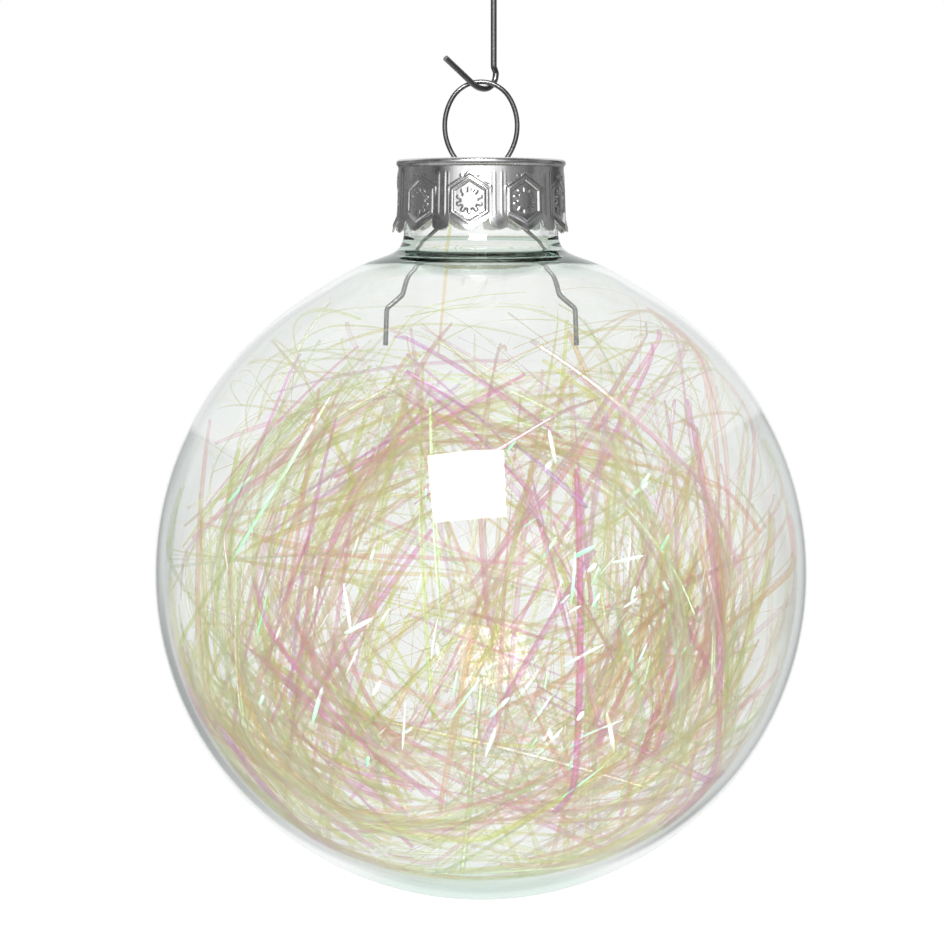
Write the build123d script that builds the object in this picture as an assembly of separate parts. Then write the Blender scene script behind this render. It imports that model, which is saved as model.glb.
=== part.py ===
"""Glass ball ornament: a clear blown ball with a neck, a stamped metal cap, a sprung wire loop that
grips inside the neck, a wire hook hung in the loop, and a loose filling of film strands.

Millimetres, +Z up. The pieces are drawn about the ball's centre. At export they all move down, so
that the origin is the hanging point: the inside of the hook's upper crook, where a twig bears.
The loop lies in the XZ plane and faces -Y.
"""

from build123d import *
import math
import os
import random

# ---- Driving dimensions ----------------------------------------------------------------------
ball_radius = 40.0
ball_wall = 1.0
neck_radius = 9.45
neck_wall = 1.1
neck_fillet = 2.5  # outside, where the neck flows into the ball
neck_inner_fillet = 0.5
mouth_height = 50.35  # the neck's mouth, above the ball's centre
lip_rounding = 0.45
overshoot = 1.0  # how far a cutter is drawn past the piece it cuts

cap_top = 50.7  # top face of the cap, above the ball's centre
cap_thickness = 0.25
cap_rim_radius = 10.35
cap_rim_height = 1.0
cap_rim_rounding = 0.7
cap_skirt_radius = 9.95  # just under the rim
cap_hem_radius = 10.9  # at the petals' tips
cap_height = 8.9
petal_count = 9
petal_phase = -8.0  # degrees from -Y to the nearest petal's middle
notch_height = 1.8  # how far the gaps between petals and tabs rise above the tips
notch_flat = 0.3  # width of a notch's level top
tab_width = 1.9
tab_lift = 0.2  # the tabs end this far above the petals' tips
cutter_end = 4.0  # how near the axis the skirt's cutters reach
emboss_height = 0.22
emboss_width = 0.32
hexagon_radius = 2.6  # across the points, halved
hexagon_middle = 5.35  # below the cap's top
star_points = 8
star_outer_radius = 1.65
star_inner_radius = 1.1
slot_inner_x = 1.3
slot_outer_x = 4.5
slot_width = 1.1

loop_wire_radius = 0.3
loop_top = 60.25  # the loop's highest centreline point, above the ball's centre
loop_crown_radius = 4.09
loop_crown_angle = 60
loop_side_radius = 6.71
loop_side_angle = 70
leg_bend_radius = 0.8
leg_waist_run = 2.8  # straight run from the loop's end to the waist under the cap
# half the legs' spread, and the drop from the loop's top, at each bend down to the cut end
leg_points = [(7.3, 20.9), (8.85, 23.95), (9.6, 26.2), (11.55, 27.75), (11.7, 32.3)]

hook_wire_radius = 0.37
hook_turn = 40.0  # degrees from the loop's plane to the hook's plane, about Z
hook_crook_bottom = (0.48, -0.86)  # from the loop's top, along the hook's plane and up
hook_crook_radius = 1.9  # from the bottom up to the shank
hook_tail_radius = 3.0  # from the bottom out to the tail
hook_tail_slope = 35.0
hook_tail_length = 5.4
hook_kink_angle = 26
hook_kink_radius = 0.6
hook_kink_run = 0.5
hook_shank_length = 9.0
hook_lean_angle = 24
hook_lean_radius = 4.0
hook_eye_radius = 6.2  # upper crook, to the wire's centreline
hook_eye_sweep = 215
hook_tip_length = 1.5

strand_width = 0.9
strand_thickness = 0.1
strands_per_group = 48
strand_groups = ("core", "middle", "outer")
strand_first_radius = 13.0
strand_last_radius = 38.4
strand_lengths = (40.0, 95.0)
strand_ceiling = 24.0  # highest point of the filling, clear of the loop's legs
strand_offset = 0.6  # how far off centre a strip's plane may lie, as a share of its sphere's radius
strand_least_tilt = 0.25  # from level, as a share of a quarter turn
strand_longest_sweep = 300.0  # degrees round its circle
strand_sweep_margin = 2.0  # degrees kept from the ceiling, both ends together
strand_side_slack = 120.0  # degrees a strip's middle may lie from its circle's lowest point
strand_seed = 7


def glass_ball():
    """Ball and neck as one wall of glass, revolved from its outline."""
    outside = bulb_outline(ball_radius, neck_radius, neck_fillet, mouth_height)
    inside = bulb_outline(
        ball_radius - ball_wall, neck_radius - neck_wall, neck_inner_fillet, mouth_height + overshoot
    )
    section = right_half(outside - inside)
    rim = [v for v in section.vertices() if abs(v.Y - mouth_height) < 1e-6]
    section = fillet(rim, lip_rounding)
    return revolve(Plane.XZ * section, Axis.Z)


def bulb_outline(radius, neck, blend, top):
    """A disc with a straight neck up to a height, rounded where the two meet."""
    outline = Circle(radius) + Pos(0, top / 2) * Rectangle(2 * neck, top)
    meeting = [v for v in outline.vertices() if radius * 0.5 < v.Y < radius]
    return fillet(meeting, blend)


def right_half(section):
    """The part of a flat section at X above 0."""
    reach = 3 * ball_radius
    return section & Pos(reach / 2, 0) * Rectangle(reach, 2 * reach)


def cap():
    """Stamped cap: a cup with two slots, a flared skirt with embossed hexagons, and a cut hem."""
    cup = revolve(Plane.XZ * cup_section(0), Axis.Z)
    relief = revolve(Plane.XZ * cup_section(emboss_height), Axis.Z) - revolve(
        Plane.XZ * cup_section(-cap_thickness / 2, solid=True), Axis.Z
    )
    stamped = cup + (relief & all_round(emboss_pattern()))
    stamped -= all_round(hem_gaps())
    for side in (-1, 1):
        middle = side * (slot_inner_x + slot_outer_x) / 2
        slot = SlotOverall(slot_outer_x - slot_inner_x, slot_width)
        stamped -= Pos(middle, 0, cap_top) * extrude(slot, amount=2 * cap_thickness, both=True)
    return stamped


def cup_section(outset, solid=False):
    """Half section of the cup in (radius, height). outset grows its skirt; solid fills its inside."""
    step = cap_top - cap_rim_height
    hem = cap_top - cap_height
    skirt, flare = cap_skirt_radius + outset, cap_hem_radius + outset
    outline = Polyline(
        (0, cap_top),
        (cap_rim_radius, cap_top),
        (cap_rim_radius, step),
        (skirt, step),
        (flare, hem),
        (0, hem),
    )
    outer = make_face(outline + Line((0, hem), (0, cap_top)))
    corner = [v for v in outer.vertices() if v.X > cap_rim_radius - 1e-6 and v.Y > cap_top - 1e-6]
    outer = fillet(corner, cap_rim_rounding)
    if solid:
        return outer
    t = cap_thickness
    bore = cap_skirt_radius - t
    ceiling = cap_top - t
    hollow = Polyline((0, ceiling), (bore, ceiling), (bore, step), (cap_hem_radius - t, hem), (0, hem))
    return outer - make_face(hollow + Line((0, hem), (0, ceiling)))


def on_skirt(flat):
    """Stands a flat pattern, drawn in (sideways, height), in front of the skirt and drives it inwards."""
    front = Plane(origin=(0, -cap_hem_radius - overshoot, 0), x_dir=(1, 0, 0), z_dir=(0, -1, 0))
    return extrude(front * flat, amount=-(cap_hem_radius + overshoot - cutter_end))


def all_round(cutter):
    """Repeats a cutter at every petal."""
    step = 360 / petal_count
    return [Rot(0, 0, petal_phase + i * step) * cutter for i in range(petal_count)]


def emboss_pattern():
    """One pitch of the relief: a hexagon frame, a star in it, and a rib to each side."""
    middle = Pos(0, cap_top - hexagon_middle)
    frame = RegularPolygon(hexagon_radius, 6, rotation=30)
    frame -= RegularPolygon(hexagon_radius - emboss_width, 6, rotation=30)
    corners = []
    for i in range(2 * star_points):
        reach = star_outer_radius if i % 2 == 0 else star_inner_radius
        turn = math.pi * i / star_points
        corners.append((reach * math.sin(turn), reach * math.cos(turn)))
    star = make_face(Polyline(*corners, corners[0]))
    rib_x = math.pi * cap_skirt_radius / petal_count - tab_width / 2
    rib = Rectangle(emboss_width, 2 * hexagon_radius)
    return on_skirt(middle * (frame + star + Pos(rib_x, 0) * rib + Pos(-rib_x, 0) * rib))


def hem_gaps():
    """What the hem loses in one pitch: below a V under the hexagon, and below each half tab."""
    hem = cap_top - cap_height
    edge = math.pi * cap_hem_radius / petal_count  # half a pitch
    notch_x, notch_z = edge - tab_width / 2, hem + notch_height
    below = hem - overshoot
    half_flat = notch_flat / 2
    right = Polyline(
        (0, below),
        (0, hem),
        (notch_x - half_flat, notch_z),
        (notch_x + half_flat, notch_z),
        (edge, hem + tab_lift),
        (edge, below),
        (0, below),
    )
    gap = make_face(right)
    return on_skirt(gap + mirror(gap, about=Plane.YZ))


def bend(start, heading, moves):
    """Centreline of a bent wire in a plane, as a wire bender makes it. A move is a straight length,
    or a (radius, angle) bend with the angle in degrees, positive to the left."""
    edges = []
    point, direction = Vector(*start), Vector(1, 0).rotate(Axis.Z, heading)
    for move in moves:
        if isinstance(move, tuple):
            edge = JernArc(point, direction, move[0], move[1])
        else:
            edge = Line(point, point + direction * move)
        edges.append(edge)
        point, direction = edge @ 1, edge % 1
    return edges


def round_wire(path, radius):
    """A round bar along a centreline."""
    section = Plane(origin=path @ 0, z_dir=path % 0) * Circle(radius)
    return sweep(section, path=path)


def spring_loop():
    """One wire: a loop above the cap, a waist under it, and two legs that press on the neck."""
    arcs = bend(
        (0, loop_top),
        0,
        [(loop_crown_radius, -loop_crown_angle), (loop_side_radius, -loop_side_angle)],
    )
    end, heading = arcs[-1] @ 1, arcs[-1] % 1
    waist = end + heading * leg_waist_run
    corners = [Vector(x, loop_top - drop) for x, drop in leg_points]
    leg = FilletPolyline(end, waist, *corners, radius=leg_bend_radius)
    half = [Plane.XZ * e for e in arcs + leg.edges()]
    other = [e.mirror(Plane.YZ) for e in half]
    return round_wire(Wire(half + other), loop_wire_radius)


def hook_centreline():
    """The hook's centreline, drawn with X along its own plane, Y up and the loop's top at the origin.
    Returns its edges and the height of its upper crook's centre."""
    slope = math.radians(hook_tail_slope)
    along = hook_tail_radius * math.sin(slope) + hook_tail_length * math.cos(slope)
    rise = hook_tail_radius * (1 - math.cos(slope)) + hook_tail_length * math.sin(slope)
    tail = (hook_crook_bottom[0] - along, hook_crook_bottom[1] + rise)
    moves = [
        hook_tail_length,
        (hook_tail_radius, hook_tail_slope),
        (hook_crook_radius, 90),
        (hook_kink_radius, hook_kink_angle),
        hook_kink_run,
        (hook_kink_radius, -hook_kink_angle),
        hook_shank_length,
        (hook_lean_radius, hook_lean_angle),
    ]
    shank_end = bend(tail, -hook_tail_slope, moves)[-1] @ 1
    lean = math.radians(hook_lean_angle)
    run = (shank_end.X + hook_eye_radius * math.cos(lean)) / math.sin(lean)
    moves += [run, (hook_eye_radius, -hook_eye_sweep), hook_tip_length]
    eye_height = shank_end.Y + run * math.cos(lean) + hook_eye_radius * math.sin(lean)
    return bend(tail, -hook_tail_slope, moves), eye_height


def wire_hook():
    """S-shaped hook: a small crook in the loop, and a wide one over a twig."""
    edges, _ = hook_centreline()
    place = Pos(0, 0, loop_top) * Rot(0, 0, hook_turn)
    return round_wire(Wire([place * (Plane.XZ * e) for e in edges]), hook_wire_radius)


def strand(shell, rng):
    """One curled strip of film, lying on a sphere of its own so that no two strips meet."""
    offset = rng.uniform(-strand_offset, strand_offset) * shell
    tilt = rng.uniform(strand_least_tilt, 1.0) * math.pi / 2  # 0 is level, a quarter turn is upright
    around = rng.uniform(0, 360)
    ring = math.sqrt(shell**2 - offset**2)
    top = (strand_ceiling - offset * math.cos(tilt)) / (ring * math.sin(tilt))
    free = 180.0 if top >= 1 else 180 - math.degrees(math.acos(max(-1.0, top)))
    wanted = math.degrees(rng.uniform(*strand_lengths) / ring)
    sweep_angle = min(wanted, 2 * free - strand_sweep_margin, strand_longest_sweep)
    slack = min(free - sweep_angle / 2, strand_side_slack)
    middle = rng.uniform(-slack, slack)
    lean = math.degrees(math.atan2(offset, ring))
    section = Pos(ring, offset) * Rot(0, 0, lean) * Rectangle(strand_thickness, strand_width)
    strip = revolve(Plane.XZ * section, Axis.Z, sweep_angle)
    # the strip's middle goes to the lowest side of its tilted circle, then off to one side
    lowest = Rot(0, 0, 180 + middle - sweep_angle / 2) * strip
    return Rot(0, 0, around) * Rot(0, -math.degrees(tilt), 0) * lowest


def tinsel():
    """Film strands in three nested groups. Returns {name: list of strips}."""
    rng = random.Random(strand_seed)
    total = strands_per_group * len(strand_groups)
    step = (strand_last_radius - strand_first_radius) / (total - 1)
    shells = [strand_first_radius + i * step for i in range(total)]
    groups = {}
    for number, name in enumerate(strand_groups):
        mine = shells[number * strands_per_group : (number + 1) * strands_per_group]
        groups[f"tinsel_{name}"] = [strand(shell, rng) for shell in mine]
    return groups


def main():
    os.makedirs("parts", exist_ok=True)
    _, eye_height = hook_centreline()
    hanging_point = loop_top + eye_height + hook_eye_radius - hook_wire_radius
    pieces = {
        "glass_ball": [glass_ball()],
        "cap": [cap()],
        "spring_loop": [spring_loop()],
        "wire_hook": [wire_hook()],
        **tinsel(),
    }
    to_origin = Pos(0, 0, -hanging_point)
    for name, solids in pieces.items():
        export_step(Compound(children=[to_origin * s for s in solids]), f"parts/{name}.step")
    print("hanging point above the ball's centre:", round(hanging_point, 4))


main()
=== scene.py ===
"""The looks of the glass ball ornament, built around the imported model.

Sizes are in millimetres about the ball's centre, +Z up, and are scaled and moved into the frame when
a mesh is made. The viewer looks along +Y.
"""

import math

import bmesh
import bpy
import numpy as np
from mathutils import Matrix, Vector
from mathutils.geometry import delaunay_2d_cdt

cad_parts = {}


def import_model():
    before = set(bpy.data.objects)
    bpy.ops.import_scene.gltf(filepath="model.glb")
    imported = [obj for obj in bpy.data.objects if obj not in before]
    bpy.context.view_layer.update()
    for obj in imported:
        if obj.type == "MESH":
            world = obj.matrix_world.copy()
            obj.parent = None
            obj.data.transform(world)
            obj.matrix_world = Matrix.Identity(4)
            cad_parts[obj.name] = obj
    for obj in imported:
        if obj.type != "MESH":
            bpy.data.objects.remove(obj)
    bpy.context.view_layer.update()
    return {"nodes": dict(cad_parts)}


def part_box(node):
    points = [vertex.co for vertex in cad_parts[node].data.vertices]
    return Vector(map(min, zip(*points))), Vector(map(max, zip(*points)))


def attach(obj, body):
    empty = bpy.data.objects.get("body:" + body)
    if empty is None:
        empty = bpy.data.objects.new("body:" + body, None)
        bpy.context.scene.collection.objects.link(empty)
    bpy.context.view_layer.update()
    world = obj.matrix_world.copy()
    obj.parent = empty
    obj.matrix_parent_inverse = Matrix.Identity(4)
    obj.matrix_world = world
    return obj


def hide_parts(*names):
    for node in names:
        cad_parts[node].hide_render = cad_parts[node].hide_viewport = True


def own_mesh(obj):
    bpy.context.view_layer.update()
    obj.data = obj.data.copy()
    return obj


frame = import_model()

MM = 0.001
scene = bpy.context.scene

# ---- Sizes worked out from the frame ---------------------------------------------------------
ball_low, ball_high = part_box("glass_ball")
cap_low, cap_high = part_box("cap")
loop_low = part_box("spring_loop")[0]
BALL = (ball_high.x - ball_low.x) / 2 / MM
CENTRE = Vector((0, 0, ball_low.z + BALL * MM))


def height(z):
    """A height in the frame, in millimetres above the ball's centre."""
    return (z - CENTRE.z) / MM


def at(z):
    """The frame's height of a point z millimetres above the ball's centre."""
    return CENTRE.z + z * MM


MOUTH = height(ball_high.z)
CAP_TOP = height(cap_high.z)
CAP_HEM = height(cap_low.z)
LEG_END = height(loop_low.z)

# ---- Glass -----------------------------------------------------------------------------------
NECK = 9.45
NECK_WALL = 1.1
WALL = 1.0
SHOULDER = 0.42  # how far the ball stands out of a true sphere round the foot of the neck
SHOULDER_ANGLE = math.radians(20.6)  # from the top to where the ball starts to turn into the neck
INNER_ANGLE = math.radians(22)
FULLNESS = 0.2  # how far the ball's top stands out of a true sphere
NECK_FOOT = BALL + 2.2
NECK_FLARE = 3.2
INNER_DROP = 2.0  # the bore starts to spread this far below the outside
BALL_ROWS, FLARE_ROWS, NECK_ROWS, LIP_ROWS = 150, 28, 5, 9
GLASS_SEGMENTS = 288

# ---- Cap -------------------------------------------------------------------------------------
PETALS = 9
PETAL_PHASE = math.radians(-8.0)  # from -Y to the middle of the nearest petal
CAP_RIM = 10.38
CAP_SKIRT = 10.12
CAP_THICKNESS = 0.2
CELLS_PER_PETAL = 96
CAP_ROWS = 150
RIM_ROUND = 0.4
RIM_ROWS = 8
RIM_STEPS = ((0.55, 0.0), (0.68, 0.04), (0.82, 0.14))  # depth, and how far inside the rim
SKIRT_START = 0.98  # depth at which the embossed skirt starts
PANEL_MIDDLE = 5.25  # depth of a hexagon's middle
PANEL_HALF_WIDTH, PANEL_HALF_HEIGHT = 1.95, 2.5
PANEL_SINK, FRAME_TALL, BROW_TALL = 0.12, 0.1, 0.06
FLOWER_RAYS = 10
FLOWER_TALL = 0.1
FLOWER_RAY_SPAN = (0.9, 1.42)  # from the flower's middle
DOT_PLACE, DOT_TALL = (0.98, 2.2), 0.07  # beside the hexagon's upper point, and depth
CHEVRON_PLACE, CHEVRON_TALL = 1.7, 0.06
RIBS = ((0.42, 0.045), (0.9, 0.018))  # from the edge of a panel's share, and height
SKIRT_SLOPE = 0.03  # how far the skirt leans out, per millimetre of depth
HEM_FLARE, HEM_FLARE_SPAN = 0.42, (6.3, 9.2)  # how far the hem turns out, and between which depths
HEM_WAVE, HEM_WAVE_SPAN = 0.1, (6.6, 8.6)
PETAL_SLOPE, TAB_SLOPE = 0.72, 0.45  # how steeply the cut edge rises from each point
PETAL_HALF_WIDTH, TAB_HALF_WIDTH = 2.25, 1.0  # to where the notches between them begin
PETAL_SIDE, TAB_SIDE, SIDE_BEND = 6, 9, 1.2  # how sharply the notches' sides rise
HEM_NOTCH = 1.75  # the deepest that the hem is cut
SLOT_INNER, SLOT_OUTER, SLOT_WIDTH = 1.3, 4.5, 1.1
SLOT_END_ROWS = 9


# ---- Mesh helpers ----------------------------------------------------------------------------
def mesh_object(name, vertices, faces, smooth=True):
    """A new mesh piece from points in millimetres about the ball's centre."""
    points = np.asarray(vertices, float) * MM + np.array(CENTRE)
    mesh = bpy.data.meshes.new(name)
    mesh.from_pydata(points.tolist(), [], [list(map(int, f)) for f in faces])
    mesh.polygons.foreach_set("use_smooth", [smooth] * len(mesh.polygons))
    mesh.update()
    piece = bpy.data.objects.new(name, mesh)
    scene.collection.objects.link(piece)
    return piece


def face_outwards(piece):
    """Makes a closed mesh's normals point out of it."""
    b = bmesh.new()
    b.from_mesh(piece.data)
    bmesh.ops.recalc_face_normals(b, faces=b.faces)
    b.to_mesh(piece.data)
    b.free()


def arc(centre, radius, start, end, count):
    """Points on an arc in (radius from the axis, height), angles in radians, both ends included."""
    turn = np.linspace(start, end, count)
    return [(centre[0] + radius * math.cos(a), centre[1] + radius * math.sin(a)) for a in turn]


def lathe(name, outline, segments):
    """A closed outline in (radius, height) turned about Z. A point on the axis becomes one vertex."""
    vertices, rings = [], []
    turn = np.arange(segments) * 2 * math.pi / segments
    for r, z in outline:
        if r < 1e-9:
            rings.append([len(vertices)] * segments)
            vertices.append((0, 0, z))
        else:
            rings.append(list(range(len(vertices), len(vertices) + segments)))
            vertices += [(r * math.cos(a), r * math.sin(a), z) for a in turn]
    faces = []
    for lower, upper in zip(rings, rings[1:] + rings[:1]):
        for i in range(segments):
            j = (i + 1) % segments
            corners = [lower[i], lower[j], upper[j], upper[i]]
            kept = [v for k, v in enumerate(corners) if v not in corners[:k]]
            if len(kept) > 2:
                faces.append(kept)
    piece = mesh_object(name, vertices, faces)
    face_outwards(piece)
    return piece


# ---- Glass ball ------------------------------------------------------------------------------
def bezier(a, b, c, d, count):
    """Points of a cubic curve from a to d, both ends included."""
    t = np.linspace(0, 1, count)[:, None]
    a, b, c, d = (np.array(p, float) for p in (a, b, c, d))
    curve = a * (1 - t) ** 3 + 3 * b * t * (1 - t) ** 2 + 3 * c * t**2 * (1 - t) + d * t**3
    return [tuple(p) for p in curve]


def on_ball(angle, radius):
    """A point on the ball's wall at an angle from the top, with the slightly full shoulder."""
    full = SHOULDER * math.exp(-(((angle - SHOULDER_ANGLE) / math.radians(6)) ** 2))
    full += FULLNESS * math.exp(-((angle / math.radians(35)) ** 2))
    return ((radius + full) * math.sin(angle), (radius + full) * math.cos(angle))


def bulb_curve(radius, neck, join, foot, top):
    """One surface of the glass in (radius, height), from the bottom pole up to a height on the neck.
    join is the angle from the top at which the ball ends, foot the height at which the neck starts
    to spread."""
    curve = [on_ball(a, radius) for a in np.linspace(math.pi, join, BALL_ROWS)]
    curve[0] = (0, curve[0][1])
    last, before = np.array(curve[-1]), np.array(curve[-2])
    heading = (last - before) / np.linalg.norm(last - before)
    turn = last + heading * (last[0] - neck) * 0.7
    curve += bezier(last, turn, (neck, foot - NECK_FLARE), (neck, foot), FLARE_ROWS)[1:]
    curve += [(neck, z) for z in np.linspace(foot, top, NECK_ROWS)[1:]]
    return curve


def glass_ball():
    lip = NECK_WALL / 2
    top = MOUTH - lip
    outer = bulb_curve(BALL, NECK, SHOULDER_ANGLE, NECK_FOOT, top)
    inner = bulb_curve(BALL - WALL, NECK - NECK_WALL, INNER_ANGLE, NECK_FOOT - INNER_DROP, top)
    over_lip = arc((NECK - lip, top), lip, 0, math.pi, LIP_ROWS)[1:-1]
    return lathe("glass_bulb", outer + over_lip + inner[::-1], GLASS_SEGMENTS)


# ---- Cap -------------------------------------------------------------------------------------
def smooth_step(low, high, value):
    t = np.clip((value - low) / (high - low), 0, 1)
    return t * t * (3 - 2 * t)


def ridge(distance, width):
    """A rounded ridge along the line where distance is 0."""
    return np.exp(-((distance / width) ** 2))


def hexagon_distance(u, v, half_width, half_height):
    """Signed distance to a hexagon that stands on a point. It is exact near its six sides."""
    slope = (half_height / 2) / half_width
    across = abs(u) - half_width
    slanted = (abs(v) + slope * abs(u) - half_height) / math.hypot(1, slope)
    return np.maximum(across, slanted)


def relief(u, v):
    """Height of the pressed pattern. u is the arc from a petal's middle, v the depth below the top."""
    half_pitch = math.pi * CAP_SKIRT / PETALS
    hexagon = hexagon_distance(u, v - PANEL_MIDDLE, PANEL_HALF_WIDTH, PANEL_HALF_HEIGHT)
    raised = -PANEL_SINK * smooth_step(0.1, -0.16, hexagon)
    raised += FRAME_TALL * ridge(hexagon - 0.2, 0.2)
    above = smooth_step(PANEL_MIDDLE - 0.4, PANEL_MIDDLE - 1.6, v)
    raised += BROW_TALL * ridge(hexagon - 0.68, 0.13) * above
    from_core = np.hypot(u, v - PANEL_MIDDLE)
    disc = smooth_step(1.2, 0.95, from_core)
    wedge = 2 * math.pi / FLOWER_RAYS
    swing = (np.arctan2(u, v - PANEL_MIDDLE) + wedge / 2) % wedge - wedge / 2
    along_ray = from_core * np.cos(swing)
    ray_start, ray_end = FLOWER_RAY_SPAN
    beyond = np.maximum(np.maximum(ray_start - along_ray, along_ray - ray_end), 0)
    rays = smooth_step(0.3, 0.12, np.hypot(from_core * np.sin(swing), beyond))
    raised += FLOWER_TALL * np.maximum(disc, rays)
    for side in (-1, 1):
        raised += DOT_TALL * ridge(np.hypot(u - side * DOT_PLACE[0], v - DOT_PLACE[1]), 0.17)
    raised += CHEVRON_TALL * ridge(abs(u) + CHEVRON_PLACE - v, 0.13) * smooth_step(0.7, 0.45, abs(u))
    along = smooth_step(1.3, 2.3, v) * smooth_step(7.4, 6.4, v)
    for from_edge, tall in RIBS:
        raised += tall * ridge(half_pitch - from_edge - abs(u), 0.11) * along
    return raised


def hem_depth(u):
    """Depth of the cap's cut edge below its top: a V under each hexagon, a pointed tab between."""
    full = CAP_TOP - CAP_HEM
    half_pitch = math.pi * CAP_SKIRT / PETALS
    petal = full - PETAL_SLOPE * np.sqrt(u**2 + 0.12) + 0.25
    from_tab = half_pitch - abs(u)
    tab = full - 0.05 - TAB_SLOPE * np.sqrt(from_tab**2 + 0.08) + 0.13
    tab = tab - TAB_SIDE * np.clip(from_tab - TAB_HALF_WIDTH, 0, None) ** SIDE_BEND
    petal = petal - PETAL_SIDE * np.clip(abs(u) - PETAL_HALF_WIDTH, 0, None) ** SIDE_BEND
    return np.minimum(np.maximum(np.maximum(petal, tab), full - HEM_NOTCH), full)


def cap_rings(columns):
    """Rings of (radius, height) round the cap, from the edge of its flat top down to the hem."""
    phase = (np.arange(columns) % CELLS_PER_PETAL) / CELLS_PER_PETAL
    phase = np.where(phase > 0.5, phase - 1, phase)
    u = phase * 2 * math.pi * CAP_SKIRT / PETALS
    hem = hem_depth(u)
    rings = []
    for a in np.linspace(0, math.pi / 2, RIM_ROWS):
        radius = CAP_RIM - RIM_ROUND + RIM_ROUND * math.sin(a)
        rings.append((np.full(columns, radius), np.full(columns, RIM_ROUND * (1 - math.cos(a)))))
    for depth, inset in RIM_STEPS:
        rings.append((np.full(columns, CAP_RIM - inset), np.full(columns, depth)))
    for row in range(CAP_ROWS):
        depth = SKIRT_START + (hem - SKIRT_START) * row / (CAP_ROWS - 1)
        flare = SKIRT_SLOPE * depth + HEM_FLARE * smooth_step(*HEM_FLARE_SPAN, depth)
        wave = HEM_WAVE * smooth_step(*HEM_WAVE_SPAN, depth) * np.cos(2 * math.pi * phase)
        rings.append((CAP_SKIRT + flare + wave + relief(u, depth), depth))
    return rings


def add_slotted_top(vertices, faces, columns):
    """Fills the first ring of points with a flat top that has the two slots."""
    points = [Vector((vertices[i][0], vertices[i][1])) for i in range(columns)]
    loops = [list(range(columns))]
    for outline in slot_outlines():
        loops.append(list(range(len(points), len(points) + len(outline))))
        points += [Vector(p) for p in outline]
    flat = delaunay_2d_cdt(points, [], loops, 1, 1e-7)
    top_points, top_faces, origin = flat[0], flat[2], flat[3]
    index = []
    for p, source in zip(top_points, origin):
        rim = [s for s in source if s < columns]
        if rim:
            index.append(rim[0])
        else:
            index.append(len(vertices))
            vertices.append((p.x, p.y, CAP_TOP))
    for f in top_faces:
        middle = sum((top_points[v] for v in f), Vector((0, 0))) / len(f)
        if not in_slot(middle):
            faces.append([index[v] for v in f])


def cap_shell():
    """The cap's outer skin, thickened inwards: slotted top, rolled rim, embossed skirt and cut hem."""
    columns = PETALS * CELLS_PER_PETAL
    turn = PETAL_PHASE - math.pi / 2 + np.arange(columns) * 2 * math.pi / columns
    rings = cap_rings(columns)
    vertices = []
    for radius, depth in rings:
        vertices += list(zip(radius * np.cos(turn), radius * np.sin(turn), CAP_TOP - depth))
    faces = []
    for ring in range(len(rings) - 1):
        for i in range(columns):
            j = (i + 1) % columns
            a, b = ring * columns, (ring + 1) * columns
            faces.append((a + i, b + i, b + j, a + j))
    skirt_faces = len(faces)
    add_slotted_top(vertices, faces, columns)
    piece = mesh_object("cap_shell", vertices, faces)
    for polygon in piece.data.polygons[skirt_faces:]:
        polygon.use_smooth = False
    face_outwards(piece)
    shell = piece.modifiers.new("thickness", "SOLIDIFY")
    shell.thickness = CAP_THICKNESS * MM
    shell.offset = -1
    apply_modifiers(piece)
    return piece


def slot_outlines():
    """The two slots in the cap's top, each a closed outline in (x, y)."""
    outlines = []
    end = SLOT_WIDTH / 2
    for side in (-1, 1):
        far = arc((SLOT_OUTER - end, 0), end, -math.pi / 2, math.pi / 2, SLOT_END_ROWS)
        near = arc((SLOT_INNER + end, 0), end, math.pi / 2, 3 * math.pi / 2, SLOT_END_ROWS)
        outlines.append([(side * x, y) for x, y in far + near][:: side])
    return outlines


def in_slot(point):
    """Whether a point of the cap's top lies in a slot."""
    end = SLOT_WIDTH / 2
    x = min(max(abs(point.x), SLOT_INNER + end), SLOT_OUTER - end)
    return math.hypot(abs(point.x) - x, point.y) < end * 0.999


def apply_modifiers(piece):
    """Replaces a piece's mesh by its modified mesh."""
    graph = bpy.context.evaluated_depsgraph_get()
    mesh = bpy.data.meshes.new_from_object(piece.evaluated_get(graph))
    piece.modifiers.clear()
    piece.data = mesh


# ---- Filling ---------------------------------------------------------------------------------
FILM_SEED = 11
FILM_THICKNESS = 0.03
WALL_GAP = 0.5
FILM_SPAN = BALL - WALL - WALL_GAP
BOTTOM_GAP = 1.2
STRAND_POINTS = 30
STRAND_TWIST = 1.8  # radians over a strand, one standard deviation
STRAND_TAPER, GLINT_TAPER = 0.3, 0.9  # share of the width lost at the tips
EASE_PASSES = 3
HUE_CHANGE = 0.4  # how likely the next strand of a tuft is to take another hue
TUFT_SPREAD = 18  # millimetres that a tuft's strands lie apart, per unit of looseness
NEST_STRANDS, CHORD_STRANDS, ROSY_STRANDS, HAIR_STRANDS, CROWN_STRANDS, GLINTS = 600, 330, 62, 230, 60, 85
# heights above which no strand's middle lies
NEST_TOP, NEST_TOP_BAND, CHORD_TOP, HAIR_TOP, GLINT_TOP = 21, 6, 19, 25, 20
GLINT_CURVE = 60  # radius that a glint bends to
GLINT_LEAST_ROOM = 500  # square of the least depth of filling behind a glint
# two strands on their own: where each starts, and how far it runs
UPRIGHT = ((-5.2, -4.6, 27), (1.6, -0.4, 16))
# the streak carries a painted glint
STREAK = ((-30, -13, 1.7), (12, 2, 20.2))
LEG_KEEP_OUT = (13.5, LEG_END - 2)  # radius about the axis and height that the legs need above them
YELLOW, OLIVE, ORANGE, SALMON, PINK, MAGENTA = 0.08, 0.22, 0.4, 0.55, 0.72, 0.86
HUES = (YELLOW, OLIVE, ORANGE, SALMON, PINK, MAGENTA)
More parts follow.
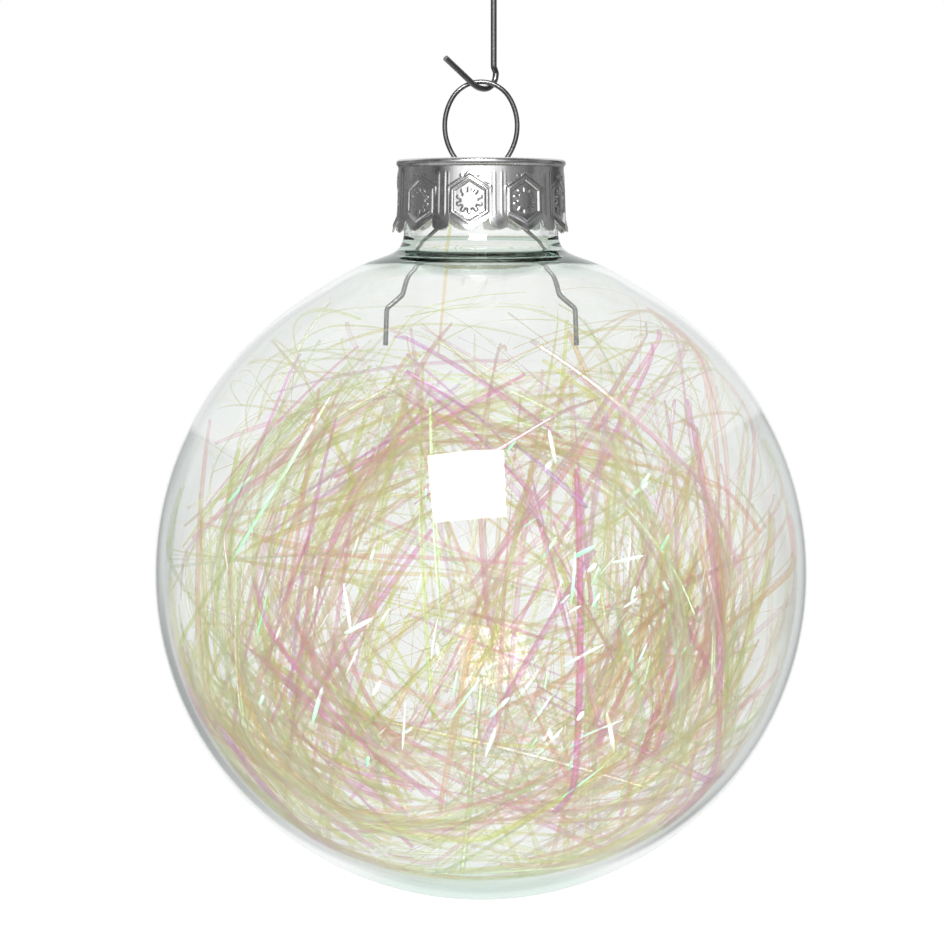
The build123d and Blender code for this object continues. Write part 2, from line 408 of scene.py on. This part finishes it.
# where the nest is thick: degrees round the view from +X, spread, share, and how likely each hue is
NEST_PLACES = (
    (-5, 33, 0.36, (0.27, 0.22, 0.18, 0.21, 0.09, 0.03)),
    (108, 34, 0.24, (0.38, 0.24, 0.10, 0.10, 0.14, 0.04)),
    (212, 27, 0.23, (0.30, 0.44, 0.10, 0.08, 0.05, 0.03)),
    (272, 30, 0.17, (0.36, 0.26, 0.10, 0.12, 0.12, 0.04)),
)
NEST_CENTRE = np.array([-1.0, 0, -3.5])
# where the pinkest strands lie: middle and spread across and up the view, heading
ROSY_PLACES = (
    (9, -12, 8, (0.32, 0.95)),
    (10, -12, 8, (-0.3, 0.95)),
    (-9, 15, 7, (0.8, 0.6)),
    (-25, 0, 5, (0.25, 0.97)),
    (-5, -20, 9, (0.9, -0.4)),
)
ROSY_HUES = (0, 0, 0.05, 0.25, 0.35, 0.35)
# the ways that straight strands cross the nest: heading across and up the view, and share
CROSSINGS = (((0.6, 0.8), 0.46), ((-0.12, 1.0), 0.3), ((1.0, -0.3), 0.24))
CROSSING_HUES = (0.34, 0.22, 0.15, 0.14, 0.1, 0.05)
# where the painted glints lie: middle across and up, spread
GLINT_PLACES = (((15, 0), 6), ((12, -4), 8), ((10, -17), 5), ((-10, -18), 9), ((-24, 0), 8), ((0, 0), 22))


def unit(v):
    return v / np.linalg.norm(v)


def curved_line(middle, heading, side, length, radius):
    """Points of an arc through middle, with the given heading there, bending towards side."""
    s = np.linspace(-0.5, 0.5, STRAND_POINTS) * length
    side = unit(side - heading * np.dot(side, heading))
    along = np.outer(np.sin(s / radius), heading)
    across = np.outer(1 - np.cos(s / radius), side)
    return middle + radius * (along + across)


def straight_line(start, run):
    """Points from start, in a straight line over a run given along each axis."""
    s = np.linspace(0, 1, STRAND_POINTS)
    return np.stack([a + b * s for a, b in zip(start, run)], axis=1)


def keep_inside(points, reach):
    """Pulls points that are outside the glass in to its wall, and a little further at the bottom."""
    distance = np.maximum(np.linalg.norm(points, axis=1), 1e-6)
    from_bottom = np.arccos(-points[:, 2] / distance)
    room = reach - BOTTOM_GAP * np.exp(-((from_bottom / math.radians(27)) ** 2))
    scale = np.minimum(1, room / distance)
    return points * scale[:, None]


def ease(points, passes):
    """Takes the kinks out of a line of points, with its ends kept."""
    for _ in range(passes):
        points[1:-1] = 0.5 * points[1:-1] + 0.25 * (points[:-2] + points[2:])
    return points


def clear_of_legs(points):
    """Whether a line of points stays out of the room that the loop's legs need."""
    around = np.hypot(points[:, 0], points[:, 1])
    return not np.any((points[:, 2] > LEG_KEEP_OUT[1]) & (around < LEG_KEEP_OUT[0]))


def ribbon(points, width, roll, twist, taper):
    """A thin closed ribbon along points: its vertices and faces."""
    count = len(points)
    tangent = np.gradient(points, axis=0)
    tangent /= np.linalg.norm(tangent, axis=1)[:, None]
    normal = unit(np.cross(tangent[0], (0.31, 0.42, 0.85)))
    corners = []
    for i in range(count):
        normal = unit(normal - tangent[i] * np.dot(normal, tangent[i]))
        across = np.cross(tangent[i], normal)
        angle = roll + twist * i / (count - 1)
        flat = normal * math.cos(angle) + across * math.sin(angle)
        thin = np.cross(tangent[i], flat)
        half = width / 2 * (1 - taper * abs(2 * i / (count - 1) - 1) ** 4)
        for a, b in ((1, 1), (-1, 1), (-1, -1), (1, -1)):
            corners.append(points[i] + a * half * flat + b * FILM_THICKNESS / 2 * thin)
    faces = []
    for i in range(count - 1):
        a, b = 4 * i, 4 * i + 4
        for k in range(4):
            m = (k + 1) % 4
            faces.append((a + k, a + m, b + m, b + k))
    faces.append((3, 2, 1, 0))
    last = 4 * (count - 1)
    faces.append((last, last + 1, last + 2, last + 3))
    return corners, faces


class Bunch:
    """Strands that become one piece."""

    def __init__(self, name, rng):
        self.name = name
        self.rng = rng
        self.count = 0
        self.vertices = []
        self.faces = []
        self.shades = {"film_hue": [], "film_depth": [], "film_shine_and_painted_glint": []}

    def add(self, points, width, twist, look, taper=STRAND_TAPER):
        """A strand along points. Its look is its hue, the hue's drift, its depth and how shiny it is; above
        0.9 it carries a painted glint.
        """
        corners, faces = ribbon(points, width, self.rng.uniform(0, math.pi), twist, taper)
        first = len(self.vertices)
        self.vertices += corners
        self.faces += [tuple(first + v for v in f) for f in faces]
        hue, drift, depth, shine_and_painted_glint = look
        along = np.repeat(np.linspace(-0.5, 0.5, len(points)), 4)
        self.shades["film_hue"] += list(hue + drift * along)
        self.shades["film_depth"] += [depth] * len(corners)
        self.shades["film_shine_and_painted_glint"] += [shine_and_painted_glint] * len(corners)
        self.count += 1

    def lay(self, middle, heading, side, length, radius, width, look):
        """A strand through middle that bends towards side, unless the legs need the room."""
        points = ease(keep_inside(curved_line(middle, heading, side, length, radius), FILM_SPAN), EASE_PASSES)
        if clear_of_legs(points):
            self.add(points, width, self.rng.normal() * STRAND_TWIST, look)

    def tuft(self, middle, heading, side, length, radius, hues, size, loosely, paleness):
        """A few strands that run nearly together."""
        rng = self.rng
        hue = rng.choice(HUES, p=hues)
        for _ in range(size):
            if rng.uniform() < HUE_CHANGE:
                hue = rng.choice(HUES, p=hues)
            look = (
                hue + rng.uniform(-0.05, 0.05),
                rng.normal() * 0.12,
                0.1 + 0.9 * rng.uniform() ** paleness,
                0.02 + 0.5 * rng.uniform() ** 7,
            )
            self.lay(
                middle + rng.normal(size=3) * loosely * TUFT_SPREAD,
                unit(heading + rng.normal(size=3) * loosely),
                side,
                length * rng.uniform(0.6, 1.3),
                radius * rng.uniform(0.8, 1.5),
                rng.uniform(0.32, 0.8),
                look,
            )

    def piece(self):
        made = mesh_object(self.name, self.vertices, self.faces)
        for key, values in self.shades.items():
            layer = made.data.attributes.new(key, "FLOAT", "POINT")
            layer.data.foreach_set("value", np.array(values, np.float32))
        return made


def any_direction(rng):
    return unit(rng.normal(size=3))


def nest(rng):
    """Tufts that run round the view, as the filling coils against the wall."""
    bunch = Bunch("film_nest", rng)
    shares = [place[2] for place in NEST_PLACES]
    while bunch.count < NEST_STRANDS:
        turn, spread, _, hues = NEST_PLACES[rng.choice(len(NEST_PLACES), p=shares)]
        turn = math.radians(rng.normal(turn, spread))
        out = np.array([math.cos(turn), 0, math.sin(turn)])
        along = np.array([-math.sin(turn), 0, math.cos(turn)])
        furthest = 0.86 + 0.11 * max(0.0, -math.sin(turn))
        reach = FILM_SPAN * rng.uniform(0.5, furthest)
        deep = math.sqrt(FILM_SPAN**2 - reach**2) * rng.uniform(-0.98, 0.98)
        middle = NEST_CENTRE + out * reach + np.array([0, deep, 0])
        if middle[2] > NEST_TOP + NEST_TOP_BAND * rng.uniform():
            continue
        heading = unit(along + rng.normal(size=3) * np.array([0.36, 0.3, 0.36]))
        bunch.tuft(
            middle, heading, -out, rng.uniform(18, 44), reach * rng.uniform(1.2, 5.5), hues,
            rng.integers(2, 9), rng.uniform(0.04, 0.13), 1.7,
        )
    return bunch


def chords(rng):
    """Straighter strands that cross the nest, pinker than the rest."""
    bunch = Bunch("film_chords", rng)
    shares = [share for _, share in CROSSINGS]
    while bunch.count < CHORD_STRANDS:
        middle = any_direction(rng) * FILM_SPAN * 0.92 * rng.uniform() ** 0.28
        if middle[2] > CHORD_TOP:
            continue
        (across, up), _ = CROSSINGS[rng.choice(len(CROSSINGS), p=shares)]
        heading = unit(np.array([across, 0, up]) + rng.normal(size=3) * np.array([0.3, 0.45, 0.3]))
        bunch.tuft(
            middle, heading, any_direction(rng), rng.uniform(18, 58), rng.uniform(90, 500), CROSSING_HUES,
            rng.integers(1, 4), rng.uniform(0.05, 0.12), 1.1,
        )
    return bunch


def rosy(rng):
    """The pink and magenta strands that show most, near the front."""
    bunch = Bunch("film_rosy", rng)
    while bunch.count < ROSY_STRANDS:
        across, up, spread, (along, rise) = ROSY_PLACES[rng.choice(len(ROSY_PLACES))]
        middle = np.array([rng.normal(across, spread), 0, rng.normal(up, spread)])
        middle[1] = rng.uniform(-0.95, 0.3) * math.sqrt(max(FILM_SPAN**2 - middle @ middle, 1.0))
        heading = unit(np.array([along, 0, rise]) + rng.normal(size=3) * np.array([0.12, 0.25, 0.12]))
        bunch.tuft(
            middle, heading, any_direction(rng), rng.uniform(14, 36), rng.uniform(120, 500), ROSY_HUES,
            rng.integers(1, 3), rng.uniform(0.04, 0.09), 0.8,
        )
    return bunch


def hairs(rng):
    """Hair-thin curly offcuts."""
    bunch = Bunch("film_hairs", rng)
    while bunch.count < HAIR_STRANDS:
        middle = any_direction(rng) * FILM_SPAN * rng.uniform(0.4, 0.98)
        if middle[2] > HAIR_TOP:
            continue
        look = (rng.uniform(0.1, 0.4), 0, 0.8, 0.1)
        bunch.lay(
            middle, any_direction(rng), -unit(middle), rng.uniform(8, 36), rng.uniform(9, 60),
            rng.uniform(0.06, 0.15), look,
        )
    return bunch


def crown(rng):
    """Sparse arcs over the top, outside the legs, and the one strand that stands up into the neck."""
    bunch = Bunch("film_crown", rng)
    while bunch.count < CROWN_STRANDS:
        turn = rng.uniform(0, 2 * math.pi)
        rise = rng.uniform(0.5, 0.87)
        flat = math.sqrt(1 - rise**2)
        out = np.array([flat * math.cos(turn), flat * math.sin(turn), rise])
        heading = unit(np.cross(out, (0, 0, 1)) + np.array([0, 0, rng.normal() * 0.3]))
        look = (rng.choice((YELLOW, YELLOW, OLIVE, ORANGE)), 0.1, rng.uniform(0.3, 0.8), 0.05)
        bunch.lay(
            out * FILM_SPAN, heading, -out, rng.uniform(20, 50), rng.uniform(22, 36),
            rng.uniform(0.16, 0.45), look,
        )
    bunch.add(straight_line(*UPRIGHT), 0.4, 0.8, (ORANGE - 0.05, -0.3, 1.0, 0.02))
    return bunch


def glints(rng):
    """Short stretches painted bright mint and white as glints, and one long painted streak."""
    bunch = Bunch("film_painted_glints", rng)
    while bunch.count < GLINTS:
        (across, up), spread = GLINT_PLACES[rng.choice(len(GLINT_PLACES))]
        middle = np.array([across, 0, up]) + rng.normal(size=3) * np.array([spread, 0, spread])
        room = FILM_SPAN**2 - middle[0] ** 2 - middle[2] ** 2
        if room < GLINT_LEAST_ROOM or middle[2] > GLINT_TOP:
            continue
        middle[1] = -math.sqrt(room) * rng.uniform(0.5, 0.95)
        heading = unit(np.array([0.5, 0, 0.85]) + rng.normal(size=3) * np.array([0.4, 0.1, 0.3]))
        # the last value, 1.0, gives each stretch the painted glint
        look = (rng.uniform(0, 0.8), 0.4, 0.5, 1.0)
        points = curved_line(middle, heading, any_direction(rng), 1.2 + 5.5 * rng.uniform() ** 2, GLINT_CURVE)
        bunch.add(keep_inside(points, FILM_SPAN), rng.uniform(0.26, 0.6), 0.3, look, GLINT_TAPER)
    bunch.add(straight_line(*STREAK), 0.5, 0.4, (0.35, 0.7, 0.5, 1.0), GLINT_TAPER)
    return bunch


def film_strands():
    rng = np.random.default_rng(FILM_SEED)
    return [make(rng).piece() for make in (nest, chords, rosy, hairs, crown, glints)]


# ---- Materials -------------------------------------------------------------------------------
def new_material(name):
    material = bpy.data.materials.new(name)
    material.use_nodes = True
    material.node_tree.nodes.clear()
    return material


class Nodes:
    """Short calls for building a node tree."""

    def __init__(self, tree):
        self.tree = tree

    def add(self, kind, **values):
        node = self.tree.nodes.new(kind)
        inputs = values.pop("inputs", {})
        for key, value in values.items():
            setattr(node, key, value)
        for key, value in inputs.items():
            self.set(node, key, value)
        return node

    def set(self, node, key, value):
        if isinstance(value, bpy.types.NodeSocket):
            self.tree.links.new(value, node.inputs[key])
        else:
            node.inputs[key].default_value = value

    def math(self, operation, a, b=0.0, c=0.0, clamp=False):
        node = self.add("ShaderNodeMath", operation=operation, use_clamp=clamp)
        for i, value in enumerate((a, b, c)):
            self.set(node, i, value)
        return node.outputs[0]

    def mix(self, factor, a, b):
        """A mix of two shaders."""
        return self.add("ShaderNodeMixShader", inputs={0: factor, 1: a, 2: b}).outputs[0]

    def ramp(self, factor, stops, smooth=True):
        node = self.add("ShaderNodeValToRGB", inputs={"Fac": factor})
        node.color_ramp.interpolation = "EASE" if smooth else "LINEAR"
        elements = node.color_ramp.elements
        while len(elements) < len(stops):
            elements.new(0.5)
        for element, (place, colour) in zip(elements, stops):
            element.position = place
            element.color = (*colour, 1)
        return node.outputs["Color"]


def glass_material():
    material = new_material("clear_glass")
    n = Nodes(material.node_tree)
    place = n.add("ShaderNodeTexCoord").outputs["Object"]
    rise = n.add("ShaderNodeSeparateXYZ", inputs={0: place}).outputs["Z"]
    up = n.add("ShaderNodeMapRange", inputs={"Value": rise, "From Min": at(-BALL), "From Max": at(BALL)})
    clear, bottle, ring = (0.99, 0.9925, 0.9895), (0.935, 0.975, 0.955), (0.87, 0.925, 0.90)
    stops = [(0.0, bottle), (0.025, bottle), (0.05, clear), (0.966, clear), (0.974, ring), (0.984, ring)]
    colour = n.ramp(up.outputs[0], [*stops, (0.995, clear)], smooth=False)
    glass = n.add("ShaderNodeBsdfGlass", inputs={"Color": colour, "IOR": 1.5, "Roughness": 0.0})
    # light that falls on the filling passes straight through the wall
    through = n.add("ShaderNodeBsdfTransparent", inputs={"Color": (0.95, 0.96, 0.955, 1)})
    path = n.add("ShaderNodeLightPath")
    straight = n.math("MAXIMUM", path.outputs["Is Shadow Ray"], path.outputs["Is Diffuse Ray"])
    surface = n.mix(straight, glass.outputs[0], through.outputs[0])
    body = n.add("ShaderNodeVolumeAbsorption", inputs={"Color": (0.5, 0.78, 0.7, 1), "Density": 32.0})
    out = n.add("ShaderNodeOutputMaterial")
    n.set(out, "Surface", surface)
    n.set(out, "Volume", body.outputs[0])
    return material


def film_material():
    """Iridescent film: it lets light through tinted by the viewing angle, and reflects mint and white; the
    most shiny strands carry a painted glint, a bright mint-white diffuse colour.
    """
    material = new_material("iridescent_film")
    n = Nodes(material.node_tree)
    hue = n.add("ShaderNodeAttribute", attribute_name="film_hue").outputs["Fac"]
    depth = n.add("ShaderNodeAttribute", attribute_name="film_depth").outputs["Fac"]
    # how shiny a strand is, and above 0.9 the mark of a painted glint
    shine_and_painted_glint = n.add("ShaderNodeAttribute", attribute_name="film_shine_and_painted_glint").outputs["Fac"]
    slant = n.add("ShaderNodeLayerWeight", inputs={"Blend": 0.35}).outputs["Facing"]
    shift = n.math("MULTIPLY_ADD", slant, 0.15, hue)
    full = n.ramp(
        shift,
        [
            (0.0, (0.966, 0.966, 0.72)),
            (0.2, (0.952, 0.944, 0.785)),
            (0.4, (0.985, 0.905, 0.77)),
            (0.55, (0.985, 0.855, 0.82)),
            (0.72, (0.985, 0.77, 0.86)),
            (0.88, (0.96, 0.66, 0.87)),
            (1.0, (0.89, 0.80, 0.96)),
        ],
    )
    tint = n.add("ShaderNodeMix", data_type="RGBA")
    n.set(tint, 0, depth)
    n.set(tint, 6, (0.991, 0.985, 0.972, 1))
    n.set(tint, 7, full)
    tint = tint.outputs[2]
    through = n.add("ShaderNodeBsdfTransparent", inputs={"Color": tint})
    glint_tint = n.ramp(shift, [(0.0, (0.62, 1.0, 0.78)), (0.5, (0.85, 1.0, 0.92)), (1.0, (0.85, 0.95, 1.0))])
    glint = n.add("ShaderNodeBsdfGlossy", inputs={"Color": glint_tint, "Roughness": 0.2})
    cloudy = n.add("ShaderNodeBsdfTranslucent", inputs={"Color": tint})
    lit = n.add("ShaderNodeBsdfDiffuse", inputs={"Color": tint})
    body = n.mix(0.5, cloudy.outputs[0], lit.outputs[0])
    surface = n.mix(0.08, through.outputs[0], body)
    fresnel = n.add("ShaderNodeFresnel", inputs={"IOR": 1.5}).outputs[0]
    strength = n.math("MULTIPLY_ADD", shine_and_painted_glint, 0.3, n.math("MULTIPLY", fresnel, 0.15), clamp=True)
    surface = n.mix(strength, surface, glint.outputs[0])
    # painted glint: strands above 0.9 get a bright mint-white diffuse colour that stands in for a reflection
    painted_glint_stops = [(0.0, (0.42, 0.93, 0.6)), (0.35, (0.72, 0.98, 0.84)), (0.7, (0.95, 1.0, 0.98))]
    painted_glint_tint = n.ramp(shift, painted_glint_stops)
    painted_glint = n.add("ShaderNodeBsdfDiffuse", inputs={"Color": painted_glint_tint})
    painted_glint_mask = n.math("MULTIPLY", n.math("GREATER_THAN", shine_and_painted_glint, 0.9), 0.75)
    surface = n.mix(painted_glint_mask, surface, painted_glint.outputs[0])
    out = n.add("ShaderNodeOutputMaterial")
    n.set(out, "Surface", surface)
    return material


def metal_material(name, colour, roughness, grain, grain_scale, worn_colour):
    """Bright metal with fine scratches and slightly uneven polish, painted shade in its hollows, and paler
    rubbed ridges.
    """
    material = new_material(name)
    n = Nodes(material.node_tree)
    place = n.add("ShaderNodeTexCoord").outputs["Object"]
    noise = n.add("ShaderNodeTexNoise", inputs={"Vector": place, "Scale": grain_scale, "Detail": 5.0})
    uneven = n.add("ShaderNodeTexNoise", inputs={"Vector": place, "Scale": grain_scale / 6, "Detail": 3.0})
    polish = n.math("MULTIPLY_ADD", uneven.outputs[0], roughness, roughness * 0.5)
    hollows_and_edges = n.add("ShaderNodeNewGeometry").outputs["Pointiness"]
    # darker in hollows: painted shade; paler on sharp ridges, where the metal is rubbed
    hollow_shade_and_wear = n.ramp(hollows_and_edges, [(0.44, tuple(c * 0.55 for c in colour)), (0.5, colour), (0.56, worn_colour)])
    bump = n.add(
        "ShaderNodeBump", inputs={"Strength": grain, "Distance": 0.00005, "Height": noise.outputs[0]}
    )
    metal = n.add(
        "ShaderNodeBsdfPrincipled",
        inputs={"Base Color": hollow_shade_and_wear, "Metallic": 1.0, "Roughness": polish, "Normal": bump.outputs[0]},
    )
    out = n.add("ShaderNodeOutputMaterial")
    n.set(out, "Surface", metal.outputs[0])
    return material


def paint(piece, material):
    piece.data.materials.clear()
    piece.data.materials.append(material)


# ---- Studio ----------------------------------------------------------------------------------
VIEW_DISTANCE = 1600.0
VIEW_WIDTH = 115.64
VIEW_SHIFT = (-1.1, 12.45)  # how far the ball's centre is right of and below the middle of the view
SENSOR = 36.0
SOFTBOX_DIRECTION = (-0.077, -0.855, 0.51)
SOFTBOX_DISTANCE = 1000.0
SOFTBOX_SIZE = (440.0, 425.0)
SOFTBOX_ROLL = math.radians(6)
SOFTBOX_RADIANCE = 14.0
FLOOR_DROP = 60.0  # from the ball's lowest point to the floor
FLOOR_HALF = 4000.0


def world():
    """White to the camera. In reflections it is white behind and overhead, with a pale card in front and
    dark at the sides, as in a studio with a white sweep."""
    space = bpy.data.worlds.new("studio")
    space.use_nodes = True
    space.node_tree.nodes.clear()
    n = Nodes(space.node_tree)
    direction = n.add("ShaderNodeTexCoord").outputs["Generated"]
    axes = n.add("ShaderNodeSeparateXYZ", inputs={0: direction}).outputs
    wide = n.math("ABSOLUTE", axes["X"])

    def step(value, low, high):
        node = n.add("ShaderNodeMapRange", interpolation_type="SMOOTHSTEP", clamp=True)
        for key, item in (("Value", value), ("From Min", low), ("From Max", high)):
            n.set(node, key, item)
        return node.outputs[0]

    # what is seen through the glass is as bright from behind the object as from in front of it
    path = n.add("ShaderNodeLightPath")
    through = path.outputs["Is Transmission Ray"]
    fold = n.math("SUBTRACT", n.math("ABSOLUTE", axes["Y"]), axes["Y"])
    toward = n.math("MULTIPLY_ADD", fold, through, axes["Y"])
    edge = n.math("MULTIPLY_ADD", axes["X"], 0.04, n.math("MULTIPLY", wide, 0.53))
    rise = n.math("SUBTRACT", axes["Z"], edge)
    overhead = n.math("MULTIPLY", step(rise, -0.01, 0.01), step(toward, 0.0, 0.45))
    below = n.math("ADD", axes["Z"], n.math("MULTIPLY", wide, 0.3))
    floor_glow = n.math("MULTIPLY", step(below, -0.1, -0.6), step(toward, -0.75, -0.2))
    backdrop = n.math("MULTIPLY", step(wide, 0.3, 0.16), step(toward, 0.0, 0.2))
    backdrop = n.math("MULTIPLY", backdrop, step(axes["Z"], -0.8, -0.3))
    card = n.math("MULTIPLY", step(axes["X"], -0.72, -0.6), step(axes["X"], 0.6, 0.5))
    card_rise = n.math("MULTIPLY", step(axes["Z"], 0.3, 0.2), step(axes["Z"], -0.12, -0.02))
    card = n.math("MULTIPLY", card, card_rise)
    card = n.math("MULTIPLY", card, step(axes["Y"], -0.5, -0.7))
    lit = n.math("MAXIMUM", n.math("MULTIPLY", overhead, 0.8), backdrop)
    lit = n.math("MAXIMUM", lit, n.math("MULTIPLY", floor_glow, 0.62))
    clutter = n.add("ShaderNodeTexNoise", inputs={"Vector": direction, "Scale": 3.5, "Detail": 2.0})
    behind = n.math("MULTIPLY_ADD", step(toward, -0.35, 0.15), 0.55, 0.45)
    behind = n.math("MULTIPLY", behind, through)
    patches = step(clutter.outputs[0], 0.38, 0.68)
    dark = n.math("MULTIPLY_ADD", patches, 0.3, n.math("MULTIPLY_ADD", behind, 0.6, 0.04))
    lit = n.math("MAXIMUM", lit, n.math("MULTIPLY", card, 1.15))
    glow = n.math("MAXIMUM", lit, dark)
    plain = n.math("MAXIMUM", path.outputs["Is Camera Ray"], path.outputs["Is Diffuse Ray"])
    seen = n.math("MAXIMUM", glow, plain)
    background = n.add("ShaderNodeBackground", inputs={"Color": (1, 1, 1, 1), "Strength": seen})
    out = n.add("ShaderNodeOutputWorld")
    n.set(out, "Surface", background.outputs[0])
    scene.world = space


def softbox():
    light = bpy.data.lights.new("softbox", "AREA")
    light.shape = "RECTANGLE"
    light.size, light.size_y = SOFTBOX_SIZE[0] * MM, SOFTBOX_SIZE[1] * MM
    light.energy = SOFTBOX_RADIANCE * math.pi * light.size * light.size_y
    lamp = bpy.data.objects.new("softbox", light)
    direction = Vector(SOFTBOX_DIRECTION).normalized()
    lamp.location = CENTRE + direction * SOFTBOX_DISTANCE * MM
    lamp.rotation_mode = "QUATERNION"
    aim = (-direction).to_track_quat("-Z", "Y")
    half_turn = Vector((0, 0, 1)).to_track_quat("Z", "Y")  # about the lamp's own axis
    lamp.rotation_quaternion = aim @ half_turn
    lamp.rotation_mode = "XYZ"
    lamp.rotation_euler.rotate_axis("Z", SOFTBOX_ROLL)
    scene.collection.objects.link(lamp)


def camera():
    """A long lens, level with the ball's centre, whose view is shifted to take in the cap and hook."""
    lens = bpy.data.cameras.new("camera")
    lens.sensor_width = SENSOR
    lens.lens = SENSOR * VIEW_DISTANCE / VIEW_WIDTH
    lens.shift_x = VIEW_SHIFT[0] / VIEW_WIDTH
    lens.shift_y = VIEW_SHIFT[1] / VIEW_WIDTH
    lens.clip_end = 50
    eye = bpy.data.objects.new("camera", lens)
    eye.location = CENTRE + Vector((0, -VIEW_DISTANCE * MM, 0))
    eye.rotation_euler = (math.pi / 2, 0, 0)
    scene.collection.objects.link(eye)
    scene.camera = eye


def floor():
    """A plain pale floor, which the ball neither reflects nor shows through its glass."""
    z = -BALL - FLOOR_DROP
    corners = [(x * FLOOR_HALF, y * FLOOR_HALF, z) for x, y in ((-1, -1), (1, -1), (1, 1), (-1, 1))]
    ground = mesh_object("floor", corners, [(0, 1, 2, 3)], smooth=False)
    material = new_material("pale_floor")
    n = Nodes(material.node_tree)
    diffuse = n.add("ShaderNodeBsdfDiffuse", inputs={"Color": (0.8, 0.8, 0.8, 1)})
    glow = n.add("ShaderNodeEmission", inputs={"Color": (1, 1, 1, 1), "Strength": 0.8})
    out = n.add("ShaderNodeOutputMaterial")
    both = n.add("ShaderNodeAddShader", inputs={0: diffuse.outputs[0], 1: glow.outputs[0]})
    n.set(out, "Surface", both.outputs[0])
    paint(ground, material)
    ground.visible_glossy = False
    ground.visible_transmission = False


def dress():
    """Makes every piece, and says which body it rides on."""
    bulb = glass_ball()
    paint(bulb, glass_material())
    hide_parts("glass_ball")
    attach(bulb, "ball")

    shell = cap_shell()
    paint(shell, metal_material("tinplate", (0.8, 0.8, 0.81), 0.25, 0.12, 3000, (0.92, 0.92, 0.92)))
    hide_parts("cap")
    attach(shell, "cap")

    film = film_material()
    for piece in film_strands():
        paint(piece, film)
        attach(piece, "filling")
        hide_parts("tinsel_core", "tinsel_middle", "tinsel_outer")

    wire = frame["nodes"]["spring_loop"]
    spring = bpy.data.objects.new("spring_wire", wire.data.copy())
    scene.collection.objects.link(spring)
    paint(spring, metal_material("loop_wire", (0.27, 0.27, 0.27), 0.2, 0.5, 2500, (0.3, 0.3, 0.3)))
    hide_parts("spring_loop")
    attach(spring, "loop")
    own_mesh(spring)

    hook = frame["nodes"]["wire_hook"]
    paint(hook, metal_material("hook_wire", (0.26, 0.26, 0.265), 0.22, 0.5, 2500, (0.3, 0.3, 0.3)))


def light_paths():
    """Enough bounces for the glass and for the film's many clear layers, and true colours."""
    scene.view_settings.view_transform = "Standard"
    cycles = scene.cycles
    cycles.max_bounces = 24
    cycles.transmission_bounces = 24
    cycles.glossy_bounces = 8
    cycles.transparent_max_bounces = 128
    cycles.caustics_reflective = False
    cycles.caustics_refractive = False
    cycles.sample_clamp_indirect = 6
    cycles.use_denoising = True


dress()
world()
softbox()
camera()
floor()
light_paths()
